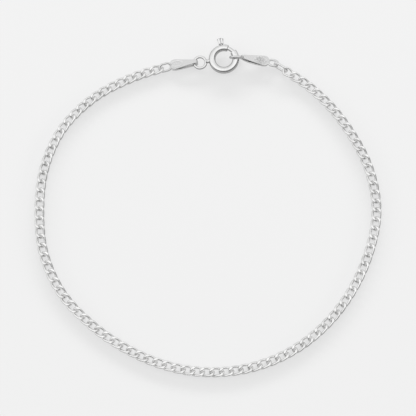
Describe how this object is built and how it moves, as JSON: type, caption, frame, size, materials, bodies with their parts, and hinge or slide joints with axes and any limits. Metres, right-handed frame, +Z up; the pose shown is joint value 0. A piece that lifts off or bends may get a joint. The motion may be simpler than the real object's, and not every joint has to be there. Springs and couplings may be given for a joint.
{
  "type": "link bracelet",
  "caption": "Slim curb chain wrist bracelet laid in a closed loop, with a sprung ring clasp, folded end tabs and small joining links.",
  "frame": {"origin": "middle of the whole bracelet's outline in plan, on the surface that it lies on", "axes": "+Z up from the surface, +Y from the middle of the loop towards the clasp, +X to the right of the clasp seen from above"},
  "size_m": [0.0632, 0.064, 0.0024],
  "materials": {
    "chain_silver": "polished silver, diamond-filed flats",
    "clasp_silver": "polished silver",
    "tab_silver": "polished silver, lightly worn"
  },
  "bodies": {
    "bracelet": {"spring_ring": "clasp_silver", "left_tab": "tab_silver", "right_tab": "tab_silver", "upright_link": "tab_silver", "round_link": "tab_silver", "chain_right": "chain_silver", "chain_left": "chain_silver"},
    "trigger": {"trigger": "clasp_silver"}
  },
  "joints": [
    {"name": "gate", "type": "hinge", "parent": "bracelet", "child": "trigger", "pos_m": [0.00297, 0.02787, 0.00106], "axis": [-0.0571, -0.0078, 0.9983], "range_deg": [0, 40], "stiffness_Nm_per_rad": 0.004}
  ]
}
